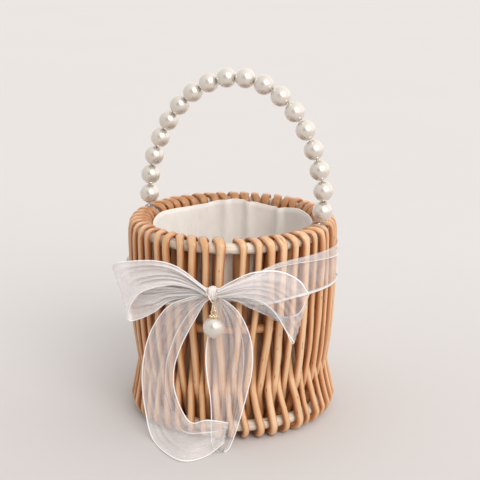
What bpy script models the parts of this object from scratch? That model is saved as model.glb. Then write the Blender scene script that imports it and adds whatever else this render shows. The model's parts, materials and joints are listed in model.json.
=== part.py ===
"""A flower girl basket: willow stakes woven over three hoops, a pearl handle and a ribbon bow.

Metres, +Z up. The origin is at the centre of the wooden base's underside, the handle's two
ends are on +X and -X, and the bow is on the side that faces -Y.
"""
import math

import bmesh
import bpy
from mathutils import Matrix, Vector

# Hoops: three round rods bent into rings
HOOP_RADIUS = 0.0650
RIM_Z = 0.1350
MIDDLE_Z = 0.0785
FOOT_Z = 0.0092
THICK_ROD = 0.00375
THIN_ROD = 0.0030

# Stakes: hairpins of willow, folded over the rim hoop, crossing at the waist
STAKES = 46
STAKE_ROD = 0.0021
WRAP = 0.0064
WAIST_Z = 0.0360
WAIST_RADIUS = 0.0663
MIDDLE_OUT = 0.0706
MIDDLE_IN = 0.0590
RIM_OUT = HOOP_RADIUS + WRAP
RIM_IN = HOOP_RADIUS - WRAP
FOOT_IN = 0.0579
LEG_END_Z = 0.0026
HANDLE_GAP = 0.0130
JOIN = 0.0005
SLANT_OUT = 0.0030
SLANT_IN = 0.0008
FRONT_GAP = math.radians(4.7)
FRONT_GAP_AFTER = 13

# Base board and cloth liner
BASE_RADIUS = 0.0553
BASE_HEIGHT = 0.0055
LINER_OUT = 0.0552
LINER_WALL = 0.0010
LINER_FOOT = 0.0058
LINER_MOUTH = 0.1375

# Handle: a wire arch through eighteen pearls, hung in two rings
PEARLS = 18
PEARL_RADIUS = 0.0070
BORE_RADIUS = 0.00115
WIRE_RADIUS = 0.0006
RING_RADIUS = 0.0056
RING_WIRE = 0.0005
RING_X = 0.0654
RING_Z = RIM_Z + 0.0005
EYE_RADIUS = 0.00145
HINGE_Z = RING_Z + RING_RADIUS
ARCH_HALF = 0.0660
ARCH_FOOT_Z = HINGE_Z + 0.0093
ARCH_HEIGHT = 0.0890
ARCH_LEAN = 0.0045
ARCH_FLARE = 0.0040

# Ribbon and bow
BOW_ANGLE = math.radians(-76.0)
RIBBON = 0.0008
BAND_INNER = 0.0741
BAND_Z = 0.1065
BAND_TILT = 0.0080
KNOT_Z = 0.1100
KNOT_DEPTH = 0.0808

OUT = Vector((math.cos(BOW_ANGLE), math.sin(BOW_ANGLE), 0))
ACROSS = Vector((-math.sin(BOW_ANGLE), math.cos(BOW_ANGLE), 0))
UP = Vector((0, 0, 1))


def material(name, colour, roughness, metallic=0.0):
    made = bpy.data.materials.new(name)
    made.use_nodes = True
    shader = made.node_tree.nodes["Principled BSDF"]
    shader.inputs["Base Color"].default_value = (*colour, 1)
    shader.inputs["Roughness"].default_value = roughness
    shader.inputs["Metallic"].default_value = metallic
    return made


def clear_scene():
    for obj in list(bpy.data.objects):
        bpy.data.objects.remove(obj, do_unlink=True)


def add_mesh(name, points, faces, surface, smooth=40):
    """An object with its faces turned outwards and its round faces shaded smooth."""
    mesh = bpy.data.meshes.new(name)
    mesh.from_pydata([tuple(p) for p in points], [], faces)
    bm = bmesh.new()
    bm.from_mesh(mesh)
    bmesh.ops.remove_doubles(bm, verts=bm.verts, dist=1e-6)
    bmesh.ops.recalc_face_normals(bm, faces=bm.faces)
    bm.to_mesh(mesh)
    bm.free()
    mesh.materials.append(surface)
    mesh.shade_smooth()
    mesh.set_sharp_from_angle(angle=math.radians(smooth))
    obj = bpy.data.objects.new(name, mesh)
    bpy.context.scene.collection.objects.link(obj)
    return obj


def frames_along(points, closed, start):
    """Two cross directions at each point of a path, turned as little as possible from one to the next."""
    count = len(points)
    tangents = []
    for i in range(count):
        before = points[i - 1] if closed or i else points[0]
        after = points[(i + 1) % count] if closed or i + 1 < count else points[-1]
        tangents.append((after - before).normalized())
    side = start
    frames = []
    for tangent in tangents:
        side = (side - tangent * side.dot(tangent)).normalized()
        frames.append((side.copy(), tangent.cross(side)))
    return frames


def tube(points, radius, sides, start, closed=False):
    """Points and faces of a round rod along a path. Its corners are mitred, so it keeps its width."""
    frames = frames_along(points, closed, start)
    verts = []
    for i, (point, (side, other)) in enumerate(zip(points, frames)):
        for k in range(sides):
            a = 2 * math.pi * (k + 0.5) / sides
            verts.append(point + radius * (math.cos(a) * side + math.sin(a) * other))
    rings = len(points)
    faces = []
    for i in range(rings if closed else rings - 1):
        j = (i + 1) % rings
        for k in range(sides):
            m = (k + 1) % sides
            faces.append((i * sides + k, i * sides + m, j * sides + m, j * sides + k))
    if not closed:
        faces.append(tuple(range(sides)))
        faces.append(tuple((rings - 1) * sides + k for k in reversed(range(sides))))
    return verts, faces


def circle(centre, radius, first, second, count):
    """Points of a circle, from the direction first towards the direction second."""
    turn = 2 * math.pi / count
    return [
        centre + radius * (math.cos(turn * i) * first + math.sin(turn * i) * second)
        for i in range(count)
    ]


def hoop(name, z, rod, steps, sides, surface):
    path = circle(Vector((0, 0, z)), HOOP_RADIUS, Vector((1, 0, 0)), Vector((0, 1, 0)), steps)
    return add_mesh(name, *tube(path, rod, sides, UP, closed=True), surface, smooth=50)


def lathe(name, profile, steps, surface, smooth=40):
    """A closed profile of (radius, z) turned about Z with the Screw modifier's settings."""
    mesh = bpy.data.meshes.new(name)
    count = len(profile)
    edges = [(i, (i + 1) % count) for i in range(count)]
    if profile[0][0] == 0:
        edges = edges[:-1]
    mesh.from_pydata([(r, 0, z) for r, z in profile], edges, [])
    mesh.materials.append(surface)
    obj = bpy.data.objects.new(name, mesh)
    bpy.context.scene.collection.objects.link(obj)
    screw = obj.modifiers.new("Screw", "SCREW")
    screw.steps = steps
    screw.render_steps = steps
    screw.use_merge_vertices = True
    screw.merge_threshold = 0.00001
    screw.use_smooth_shade = True
    return obj


def boolean(obj, other, operation):
    """Applies one exact Boolean and removes the other object."""
    cut = obj.modifiers.new("Boolean", "BOOLEAN")
    cut.operation = operation
    cut.solver = "EXACT"
    cut.object = other
    graph = bpy.context.evaluated_depsgraph_get()
    mesh = bpy.data.meshes.new_from_object(obj.evaluated_get(graph))
    obj.modifiers.clear()
    obj.data = mesh
    bpy.data.objects.remove(other, do_unlink=True)
    return obj


def rim_angle(i):
    """Where stake i stands on the rim: two halves, with a wider gap at each handle ring.

    One more gap shows at the front, and the stakes after it stand closer together.
    """
    half = STAKES // 2
    gap = HANDLE_GAP / RIM_OUT
    step = (math.pi - gap) / (half - 1)
    place = i % half
    pushed = 0.0
    if i >= half and place > FRONT_GAP_AFTER:
        share = (place - FRONT_GAP_AFTER - 0.5) / (half - FRONT_GAP_AFTER - 0.5)
        pushed = FRONT_GAP * (1 - share**3)
    return math.pi * (i // half) + gap / 2 + step * place + pushed


def waist_angle(i):
    return 2 * math.pi * (i + 0.5) / STAKES


def polar(radius, angle, z):
    return Vector((radius * math.cos(angle), radius * math.sin(angle), z))


def stake_path(i):
    """The first leg up from the base to the rim, the fold, and the second leg down to the foot.

    Seen from outside, the first leg stands to the right of the second. They change places in
    depth at the waist, and below it the second leg slants on to the right, outside the foot hoop.
    """
    lean = math.pi / STAKES / 2
    join = JOIN / WAIST_RADIUS
    rim, waist = rim_angle(i), waist_angle(i)
    first = waist + lean + (0 if i % 2 else join)
    second = waist - lean - (join if i % 2 else 0)
    share = (MIDDLE_Z - WAIST_Z) / (RIM_Z - WAIST_Z)
    rim_first, rim_second = rim + lean, rim - lean
    middle_first = first + (rim_first - first) * share
    middle_second = second + (rim_second - second) * share
    foot_first = waist + lean - SLANT_IN / FOOT_IN
    foot_second = waist - lean + SLANT_OUT / RIM_OUT
    path = [
        polar(FOOT_IN, foot_first, LEG_END_Z),
        polar(FOOT_IN, foot_first, FOOT_Z),
        polar(WAIST_RADIUS, first, WAIST_Z),
        polar(MIDDLE_OUT, middle_first, MIDDLE_Z),
        polar(RIM_OUT, rim_first, RIM_Z),
    ]
    for k in range(1, 4):
        turn = math.pi * k / 4
        angle = rim_first + (rim_second - rim_first) * k / 4
        path.append(polar(HOOP_RADIUS + WRAP * math.cos(turn), angle, RIM_Z + WRAP * math.sin(turn)))
    path += [
        polar(RIM_IN, rim_second, RIM_Z),
        polar(MIDDLE_IN, middle_second, MIDDLE_Z),
        polar(WAIST_RADIUS, second, WAIST_Z),
        polar(RIM_OUT, foot_second, FOOT_Z),
        polar(HOOP_RADIUS + WRAP * 0.72, foot_second, FOOT_Z - WRAP * 0.72),
        polar(HOOP_RADIUS, foot_second, FOOT_Z - WRAP),
        polar(HOOP_RADIUS - 0.0012, foot_second, FOOT_Z - WRAP),
    ]
    return path


def stake(name, i, surface):
    path = stake_path(i)
    return add_mesh(name, *tube(path, STAKE_ROD, 8, polar(1, waist_angle(i), 0)), surface)


def stake_pairs(surface):
    for pair in range(STAKES // 2):
        body = stake("stake_pair_%02d" % (pair + 1), 2 * pair, surface)
        boolean(body, stake("other_stake", 2 * pair + 1, surface), "UNION")


def base_board(surface):
    profile = [(0, BASE_HEIGHT), (BASE_RADIUS, BASE_HEIGHT), (BASE_RADIUS, 0), (0, 0)]
    return lathe("base_board", profile, 48, surface)


def liner(surface):
    floor = LINER_FOOT + LINER_WALL
    inner = LINER_OUT - LINER_WALL
    profile = [
        (0, floor),
        (inner - 0.003, floor),
        (inner, floor + 0.003),
        (inner, LINER_MOUTH),
        (LINER_OUT, LINER_MOUTH),
        (LINER_OUT, LINER_FOOT + 0.003),
        (LINER_OUT - 0.003, LINER_FOOT),
        (0, LINER_FOOT),
    ]
    return lathe("liner", profile, 40, surface)


def arch_point(share):
    """A point of the handle's centreline; share runs from 0 at -X to 1 at +X."""
    turn = math.pi * share
    height = math.sin(turn)
    x = -ARCH_HALF * math.cos(turn) + ARCH_LEAN * height + ARCH_FLARE * share**12
    return Vector((x, 0, ARCH_FOOT_Z + ARCH_HEIGHT * height))


def pearl_centres():
    """Eighteen points at equal distances along the arch, the first and last at its feet."""
    fine = [arch_point(k / 2000) for k in range(2001)]
    lengths = [0.0]
    for a, b in zip(fine, fine[1:]):
        lengths.append(lengths[-1] + (b - a).length)
    centres = []
    k = 0
    for n in range(PEARLS):
        want = lengths[-1] * n / (PEARLS - 1)
        while k < 2000 and lengths[k] < want - 1e-9:
            k += 1
        centres.append(fine[k])
    return centres


def handle_path(centres):
    """The wire bends only in the gaps between pearls, so it runs straight through each bore."""
    middles = [(a + b) / 2 for a, b in zip(centres, centres[1:])]
    ends = []
    for x, foot in ((-RING_X, centres[0]), (RING_X, centres[-1])):
        eye = Vector((x, 0, HINGE_Z))
        turns = [math.radians(90 - 30 * k) for k in range(11)]
        loop = [eye + EYE_RADIUS * Vector((0, math.cos(t), math.sin(t))) for t in turns]
        ends.append(loop)
    return list(reversed(ends[0])) + middles + ends[1]


def handle_wire(centres, surface):
    path = handle_path(centres)
    return add_mesh("handle_wire", *tube(path, WIRE_RADIUS, 6, Vector((0, 1, 0))), surface, smooth=60)


def handle_ring(name, side, surface):
    path = circle(Vector((side * RING_X, 0, RING_Z)), RING_RADIUS, UP, Vector((1, 0, 0)), 18)
    return add_mesh(name, *tube(path, RING_WIRE, 6, Vector((0, 1, 0)), closed=True), surface, smooth=60)


def bored_pearl(name, centre, axis, radius, bore, surface):
    """A round bead with a straight hole along axis: one closed profile turned about that axis."""
    start = math.asin(bore / radius)
    rows = 8
    outside = []
    for k in range(rows + 1):
        a = start + (math.pi - 2 * start) * k / rows
        outside.append((radius * math.sin(a), radius * math.cos(a)))
    steps = 14
    turn = Vector((0, 0, 1)).rotation_difference(axis).to_matrix()
    verts = []
    for n in range(steps):
        a = 2 * math.pi * n / steps
        for r, z in outside:
            verts.append(centre + turn @ Vector((r * math.cos(a), r * math.sin(a), z)))
    faces = []
    size = rows + 1
    for n in range(steps):
        m = (n + 1) % steps
        for k in range(size):
            j = (k + 1) % size
            faces.append((n * size + k, m * size + k, m * size + j, n * size + j))
    return add_mesh(name, verts, faces, surface, smooth=50)


def handle_pearls(centres, surface):
    path = [Vector((-RING_X, 0, HINGE_Z + EYE_RADIUS))]
    path += [(a + b) / 2 for a, b in zip(centres, centres[1:])]
    path += [Vector((RING_X, 0, HINGE_Z + EYE_RADIUS))]
    for n in range(PEARLS):
        axis = (path[n + 1] - path[n]).normalized()
        middle = (path[n + 1] + path[n]) / 2
        if n in (0, PEARLS - 1):
            near = path[1] if n == 0 else path[-2]
            middle = near + axis * (-0.00722 if n == 0 else 0.00722)
        bored_pearl("pearl_%02d" % (n + 1), middle, axis, PEARL_RADIUS, BORE_RADIUS, surface)


def bow_point(across, depth, z):
    return ACROSS * across + OUT * depth + UP * z


def slab(name, rows, surface, thick=RIBBON, closed=False):
    """A ribbon of even thickness. Each row is (point, half width vector, thickness direction)."""
    verts = []
    for point, half, normal in rows:
        step = normal.normalized() * thick / 2
        verts += [point - half - step, point + half - step, point + half + step, point - half + step]
    count = len(rows)
    faces = []
    for i in range(count if closed else count - 1):
        j = (i + 1) % count
        for k in range(4):
            m = (k + 1) % 4
            faces.append((4 * i + k, 4 * i + m, 4 * j + m, 4 * j + k))
    if not closed:
        faces.append((0, 1, 2, 3))
        faces.append(tuple(4 * (count - 1) + k for k in (3, 2, 1, 0)))
    return add_mesh(name, verts, faces, surface)


def ribbon_band(surface):
    """The band round the basket: higher on +X than on -X, and gathered where it passes behind the knot."""
    rows = []
    for n in range(48):
        angle = BOW_ANGLE + 2 * math.pi * n / 48
        away = min(1.0, abs(math.remainder(angle - BOW_ANGLE, 2 * math.pi)) / math.radians(45))
        ease = away * away * (3 - 2 * away)
        z = KNOT_Z + (BAND_Z + BAND_TILT * math.cos(angle) - KNOT_Z) * ease
        half = 0.0055 + 0.0065 * ease
        rows.append((polar(BAND_INNER + RIBBON / 2, angle, z), UP * half, polar(1, angle, 0)))
    return slab("ribbon_band", rows, surface, closed=True)


def loop_rows(side, reach, drop, slope):
    """A bow loop: out along the front, round the fold and back behind, widening from the knot."""
    rows = []
    count = 9
    for n in range(2 * count + 1):
        share = n / count - 1
        run = 1 - abs(share)
        front = 1 if share < 0 else -1
        out = math.sin(math.pi / 2 * run)
        swell = math.sin(math.pi * min(1, run * 0.98)) ** 0.7
        across = side * (0.0066 + (reach - 0.0066) * out)
        curve = math.sqrt(max(0.0, 0.0815**2 - (0.86 * across) ** 2))
        depth = curve + 0.0028 * front * (1 - run) ** 0.5 + front * 0.0062 * swell
        z = KNOT_Z + 0.0040 * math.sin(math.pi * out) + drop * out**2
        half = 0.0048 + 0.0142 * out * out * (3 - 2 * out)
        spine = (UP + ACROSS * side * slope * out).normalized()
        rows.append((bow_point(across, depth, z), spine * half, None))
    return rows


def bow_loop(name, side, reach, drop, slope, surface):
    rows = loop_rows(side, reach, drop, slope)
    finished = []
    for i, (point, half, _) in enumerate(rows):
        before = rows[max(i - 1, 0)][0]
        after = rows[min(i + 1, len(rows) - 1)][0]
        finished.append((point, half, (after - before).cross(half)))
    return slab(name, finished, surface)


def tail(name, stations, surface):
    """A ribbon end hanging from the knot: stations of (across, depth, z, half width, twist)."""
    points = [bow_point(a, d, z) for a, d, z, _, _ in stations]
    rows = []
    for i, (_, _, _, half, twist) in enumerate(stations):
        along = points[min(i + 1, len(points) - 1)] - points[max(i - 1, 0)]
        side = ACROSS * math.cos(twist) + OUT * math.sin(twist)
        side = (side - along * side.dot(along) / along.length_squared).normalized()
        rows.append((points[i], side * half, along.cross(side)))
    return slab(name, rows, surface)


def bow_knot(surface):
    """A flattened lump with a hole across it for the pendant's hook."""
    mesh = bpy.data.meshes.new("bow_knot")
    bm = bmesh.new()
    bmesh.ops.create_uvsphere(bm, u_segments=16, v_segments=10, radius=1)
    for vert in bm.verts:
        x, y, z = vert.co
        point = bow_point(0.0050 * x, KNOT_DEPTH + 0.0046 * y, KNOT_Z + 0.0062 * z)
        vert.co = point
    bmesh.ops.recalc_face_normals(bm, faces=bm.faces)
    bm.to_mesh(mesh)
    bm.free()
    mesh.materials.append(surface)
    mesh.shade_smooth()
    obj = bpy.data.objects.new("bow_knot", mesh)
    bpy.context.scene.collection.objects.link(obj)
    low = bow_point(-0.012, KNOT_DEPTH, HOOK_TOP_Z)
    high = bow_point(0.012, KNOT_DEPTH, HOOK_TOP_Z)
    hole = add_mesh("hole", *tube([low, high], 0.0009, 8, UP), surface)
    return boolean(obj, hole, "DIFFERENCE")


# Pendant: a wire hook, a jump ring, and a capped pearl
HOOK_DEPTH = 0.0877
HOOK_TOP_Z = KNOT_Z + 0.0005
HOOK_WIRE = 0.00035
HOOK_LOW_Z = KNOT_Z - 0.0060
LINK_RADIUS = 0.0028
LINK_WIRE = 0.00035
LINK_TOP_Z = HOOK_LOW_Z + 0.0009
LINK_Z = LINK_TOP_Z - LINK_RADIUS
EYELET_RADIUS = 0.0016
EYELET_TOP_Z = LINK_Z - LINK_RADIUS + 0.0009
EYELET_Z = EYELET_TOP_Z - EYELET_RADIUS
DROP_Z = EYELET_Z - 0.0032 - PEARL_RADIUS
PENDANT_ACROSS = 0.0028


def pendant_hook(surface):
    """A loop of wire through the knot's hole and round its front, with the jump ring at its foot."""
    foot = PENDANT_ACROSS
    half = [
        (0.0060, KNOT_DEPTH, HOOK_TOP_Z),
        (0.0066, KNOT_DEPTH + 0.0012, HOOK_TOP_Z - 0.0004),
        (0.0060, KNOT_DEPTH + 0.0036, HOOK_TOP_Z - 0.0020),
    ]
    path = [bow_point(*station) for station in half]
    for step, lift in ((0.0008, 0.0003), (0.0, 0.0), (-0.0008, 0.0003)):
        path.append(bow_point(foot + step, HOOK_DEPTH, HOOK_LOW_Z + lift))
    path += [bow_point(-a, d, z) for a, d, z in reversed(half)]
    return add_mesh("pendant_hook", *tube(path, HOOK_WIRE, 6, UP + OUT, closed=True), surface, smooth=60)


def pendant_ring(surface):
    path = circle(bow_point(PENDANT_ACROSS, HOOK_DEPTH, LINK_Z), LINK_RADIUS, UP, OUT, 16)
    return add_mesh("pendant_ring", *tube(path, LINK_WIRE, 6, ACROSS, closed=True), surface, smooth=60)


def pendant_cap(surface):
    """A domed cap on the pearl's top, joined to an upright eyelet."""
    centre = bow_point(PENDANT_ACROSS, HOOK_DEPTH, DROP_Z)
    verts = []
    faces = []
    rings = []
    for radius, start, stop in ((PEARL_RADIUS + 0.0003, 0.62, 0.2), (PEARL_RADIUS + 0.0010, 0.2, 0.62)):
        for k in range(4):
            a = start + (stop - start) * k / 3
            rings.append((radius * math.sin(a), radius * math.cos(a)))
    steps = 12
    for n in range(steps):
        a = 2 * math.pi * n / steps
        for r, z in rings:
            verts.append(centre + r * (math.cos(a) * ACROSS + math.sin(a) * OUT) + UP * z)
    size = len(rings)
    for n in range(steps):
        m = (n + 1) % steps
        for k in range(size):
            j = (k + 1) % size
            faces.append((n * size + k, m * size + k, m * size + j, n * size + j))
    cap = add_mesh("pendant_cap", verts, faces, surface, smooth=50)
    stem_low = centre + UP * (PEARL_RADIUS + 0.0004)
    stem_high = bow_point(PENDANT_ACROSS, HOOK_DEPTH, EYELET_Z - EYELET_RADIUS)
    stem = add_mesh("stem", *tube([stem_low, stem_high], 0.0017, 10, OUT), surface)
    boolean(cap, stem, "UNION")
    ring = circle(bow_point(PENDANT_ACROSS, HOOK_DEPTH, EYELET_Z), EYELET_RADIUS, UP, ACROSS, 14)
    eyelet = add_mesh("eyelet", *tube(ring, LINK_WIRE, 6, OUT, closed=True), surface)
    return boolean(cap, eyelet, "UNION")


def pendant_pearl(surface):
    centre = bow_point(PENDANT_ACROSS, HOOK_DEPTH, DROP_Z)
    return bored_pearl("pendant_pearl", centre, UP.copy(), PEARL_RADIUS, 0.0009, surface)


def pendant_pin(surface):
    """A thin pin up through the pearl, with a small round head below it."""
    centre = bow_point(PENDANT_ACROSS, HOOK_DEPTH, DROP_Z)
    rings = [(0.0004, PEARL_RADIUS + 0.0001), (0.0004, -PEARL_RADIUS - 0.0003)]
    rings += [(0.0011, -PEARL_RADIUS - 0.0003), (0.0009, -PEARL_RADIUS - 0.0009)]
    steps = 8
    verts = []
    for r, z in rings:
        verts += [centre + p + UP * z for p in circle(Vector(), r, ACROSS, OUT, steps)]
    faces = [tuple(range(steps)), tuple(3 * steps + k for k in range(steps))]
    for i in range(3):
        for k in range(steps):
            m = (k + 1) % steps
            faces.append((i * steps + k, i * steps + m, (i + 1) * steps + m, (i + 1) * steps + k))
    return add_mesh("pendant_pin", verts, faces, surface, smooth=50)


def ribbon_tails(surface):
    left = [
        (-0.0052, 0.0798, 0.1010, 0.0042, 0.0),
        (-0.0110, 0.0790, 0.0920, 0.0078, 0.10),
        (-0.0200, 0.0765, 0.0790, 0.0125, 0.22),
        (-0.0280, 0.0735, 0.0620, 0.0140, 0.34),
        (-0.0310, 0.0722, 0.0450, 0.0140, 0.38),
        (-0.0290, 0.0735, 0.0270, 0.0140, 0.36),
        (-0.0255, 0.0765, 0.0130, 0.0135, 0.30),
        (-0.0225, 0.0820, 0.0044, 0.0130, 0.20),
        (-0.0190, 0.0890, 0.0012, 0.0120, 0.10),
        (-0.0160, 0.0985, 0.0008, 0.0100, 0.0),
    ]
    right = [
        (0.0056, 0.0792, 0.1010, 0.0050, 0.0),
        (0.0100, 0.0780, 0.0900, 0.0110, -0.05),
        (0.0130, 0.0768, 0.0760, 0.0140, -0.10),
        (0.0140, 0.0762, 0.0600, 0.0142, -0.14),
        (0.0130, 0.0762, 0.0420, 0.0130, -0.14),
        (0.0110, 0.0770, 0.0240, 0.0105, -0.12),
        (0.0095, 0.0788, 0.0100, 0.0085, -0.10),
        (0.0085, 0.0818, 0.0030, 0.0080, -0.08),
        (0.0080, 0.0860, 0.0010, 0.0075, -0.05),
        (0.0075, 0.0905, 0.0008, 0.0065, 0.00),
    ]
    tail("ribbon_tail_left", left, surface)
    tail("ribbon_tail_right", right, surface)


def build():
    clear_scene()
    peeled = material("peeled_rod", (0.86, 0.78, 0.62), 0.6)
    brown = material("brown_rod", (0.55, 0.28, 0.11), 0.6)
    willow = material("willow", (0.66, 0.42, 0.20), 0.5)
    board = material("board", (0.72, 0.55, 0.35), 0.7)
    cotton = material("cotton", (0.88, 0.85, 0.79), 0.9)
    steel = material("steel", (0.65, 0.65, 0.66), 0.3, 1.0)
    ivory = material("pearl", (0.93, 0.90, 0.86), 0.2)
    organza = material("organza", (0.93, 0.92, 0.92), 0.5)
    gold = material("gold", (0.85, 0.65, 0.35), 0.25, 1.0)
    hoop("top_hoop", RIM_Z, THICK_ROD, 56, 8, peeled)
    hoop("middle_hoop", MIDDLE_Z, THIN_ROD, 48, 6, brown)
    hoop("bottom_hoop", FOOT_Z, THICK_ROD, 56, 8, peeled)
    stake_pairs(willow)
    base_board(board)
    liner(cotton)
    centres = pearl_centres()
    handle_wire(centres, steel)
    handle_ring("handle_ring_left", -1, steel)
    handle_ring("handle_ring_right", 1, steel)
    handle_pearls(centres, ivory)
    ribbon_band(organza)
    bow_loop("bow_loop_left", -1, 0.0605, -0.0025, 0.22, organza)
    bow_loop("bow_loop_right", 1, 0.0605, -0.0085, 0.20, organza)
    bow_knot(organza)
    ribbon_tails(organza)
    pendant_hook(gold)
    pendant_ring(gold)
    pendant_cap(gold)
    pendant_pin(gold)
    pendant_pearl(ivory)


build()
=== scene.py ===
# %% [markdown]
# # A flower girl basket
#
# This notebook dresses a small willow basket: hairpins of willow hung over three hoops, a cotton
# liner, a handle of eighteen pearls on a wire, and a sheer ribbon tied in a bow with a pearl drop.
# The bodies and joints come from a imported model, which stays fixed. Every piece made here sits
# at the origin with its place in its mesh, and rides on one of those bodies.

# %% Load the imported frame
import json
import math

import bmesh
import bpy
import numpy as np
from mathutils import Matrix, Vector, noise


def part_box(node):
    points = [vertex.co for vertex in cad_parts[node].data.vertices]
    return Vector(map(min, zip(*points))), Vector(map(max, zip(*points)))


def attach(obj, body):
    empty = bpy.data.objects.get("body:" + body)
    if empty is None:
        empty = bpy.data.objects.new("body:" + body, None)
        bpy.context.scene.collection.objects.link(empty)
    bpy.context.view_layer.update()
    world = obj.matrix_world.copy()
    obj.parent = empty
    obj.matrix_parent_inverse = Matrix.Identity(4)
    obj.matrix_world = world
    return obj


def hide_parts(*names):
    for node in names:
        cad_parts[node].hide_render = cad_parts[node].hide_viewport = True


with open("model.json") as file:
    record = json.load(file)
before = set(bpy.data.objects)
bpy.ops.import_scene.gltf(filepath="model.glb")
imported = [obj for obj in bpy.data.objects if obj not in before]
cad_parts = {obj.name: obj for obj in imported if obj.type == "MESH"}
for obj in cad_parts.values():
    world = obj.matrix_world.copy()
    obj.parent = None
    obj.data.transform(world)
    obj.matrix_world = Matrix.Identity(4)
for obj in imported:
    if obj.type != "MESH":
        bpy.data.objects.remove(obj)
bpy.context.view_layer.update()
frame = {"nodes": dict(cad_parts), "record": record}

UP = Vector((0, 0, 1))
RIGHT = Vector((1, 0, 0))
BACK = Vector((0, 1, 0))

# %% [markdown]
# ## Helpers for node trees
#
# A shader and a Geometry Nodes modifier are both trees of nodes. Adding one by hand takes four
# lines, so `put` does it in one: it makes a node, sets its options, and fills each input with a
# value or with a link from another node. The small helpers after it wrap the nodes used most.

# %% One call for each node
def put(tree, kind, inputs=None, **options):
    made = tree.nodes.new(kind)
    for key, value in options.items():
        setattr(made, key, value)
    for key, value in (inputs or {}).items():
        if isinstance(value, bpy.types.NodeSocket):
            tree.links.new(value, made.inputs[key])
        else:
            made.inputs[key].default_value = value
    return made


def calc(tree, operation, first, second=0.0, third=0.0):
    inputs = {0: first, 1: second}
    if operation == "MULTIPLY_ADD":
        inputs[2] = third
    return put(tree, "ShaderNodeMath", inputs, operation=operation).outputs[0]


def vector_calc(tree, operation, first, second=(0, 0, 0), scale=1.0):
    inputs = {0: first, 3: scale} if operation == "SCALE" else {0: first, 1: second}
    made = put(tree, "ShaderNodeVectorMath", inputs, operation=operation)
    return made.outputs["Value" if operation == "DOT_PRODUCT" else "Vector"]


def remap(tree, value, low, high, to_low=0.0, to_high=1.0):
    inputs = {0: value, 1: low, 2: high, 3: to_low, 4: to_high}
    return put(tree, "ShaderNodeMapRange", inputs).outputs[0]


def blend_colours(tree, factor, first, second, mode="MIX"):
    inputs = {0: factor, 6: first, 7: second}
    return put(tree, "ShaderNodeMix", inputs, data_type="RGBA", blend_type=mode).outputs[2]


def cloudy(tree, where, scale, detail=3.0, roughness=0.55):
    inputs = {"Vector": where, "Scale": scale, "Detail": detail, "Roughness": roughness}
    return put(tree, "ShaderNodeTexNoise", inputs).outputs[0]


def object_place(tree):
    return put(tree, "ShaderNodeTexCoord").outputs["Object"]


def stretched(tree, where, scale):
    inputs = {"Vector": where, "Scale": scale}
    return put(tree, "ShaderNodeMapping", inputs).outputs[0]


def attribute(tree, name, output="Fac"):
    return put(tree, "ShaderNodeAttribute", attribute_name=name).outputs[output]


def relief(tree, height, strength, distance):
    inputs = {"Height": height, "Strength": strength, "Distance": distance}
    return put(tree, "ShaderNodeBump", inputs).outputs[0]


def new_finish(name, **values):
    """A material and its Principled shader, with the values that are the same all over set on it."""
    made = bpy.data.materials.new(name)
    made.use_nodes = True
    shader = made.node_tree.nodes["Principled BSDF"]
    for key, value in values.items():
        shader.inputs[key.replace("_", " ")].default_value = value
    return made, made.node_tree, shader


def tinted(colour, red, green, blue):
    return (colour[0] * red, colour[1] * green, colour[2] * blue, 1)


# %% [markdown]
# ## The camera, the light and the table top
#
# The basket stands on a pale surface in soft light. A long lens keeps the hoops nearly round.
# One broad light stands high on the right, so each shadow falls soft and long to the left, and
# a pale room all round fills the rest. The room is darker on one side and has one dim corner:
# pearls are almost mirrors, and without something to reflect they look flat.

# %% Camera
LENS = 91.5
CAMERA_AT = Vector((0.3363, -0.7614, 0.3572))
LOOKS_AT = Vector((0.00504, 0.00219, 0.1226))

camera_data = bpy.data.cameras.new("camera")
camera_data.lens = LENS
camera_data.clip_start = 0.01
camera = bpy.data.objects.new("camera", camera_data)
camera.location = CAMERA_AT
camera.rotation_euler = (LOOKS_AT - CAMERA_AT).to_track_quat("-Z", "Y").to_euler()
bpy.context.scene.collection.objects.link(camera)
bpy.context.scene.camera = camera
bpy.context.scene.view_settings.view_transform = "Standard"

# %% Light
KEY_FROM = Vector((0.62, -0.53, 0.58))
KEY_STRENGTH = 1.6
KEY_SPREAD = math.radians(38)
BRIGHT_SIDE = (0.72, 0.42, 0.15)
DIM_CORNER = (0.16, -0.93, 0.33)

key_data = bpy.data.lights.new("window_light", "SUN")
key_data.energy = KEY_STRENGTH
key_data.angle = KEY_SPREAD
key_data.color = (1.0, 0.985, 0.96)
key = bpy.data.objects.new("window_light", key_data)
key.rotation_euler = KEY_FROM.to_track_quat("Z", "Y").to_euler()
bpy.context.scene.collection.objects.link(key)

room = bpy.data.worlds.new("room")
room.use_nodes = True
bpy.context.scene.world = room
tree = room.node_tree
heading = put(tree, "ShaderNodeTexCoord").outputs["Generated"]
glow = remap(tree, vector_calc(tree, "DOT_PRODUCT", heading, BRIGHT_SIDE), -0.6, 0.7, 0.765, 1.235)
dim = remap(tree, vector_calc(tree, "DOT_PRODUCT", heading, DIM_CORNER), 0.86, 0.98, 1.0, 0.35)
glow = calc(tree, "MULTIPLY", glow, dim)
tree.links.new(glow, tree.nodes["Background"].inputs["Strength"])
tree.nodes["Background"].inputs["Color"].default_value = (1.0, 0.985, 0.97, 1)

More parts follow.
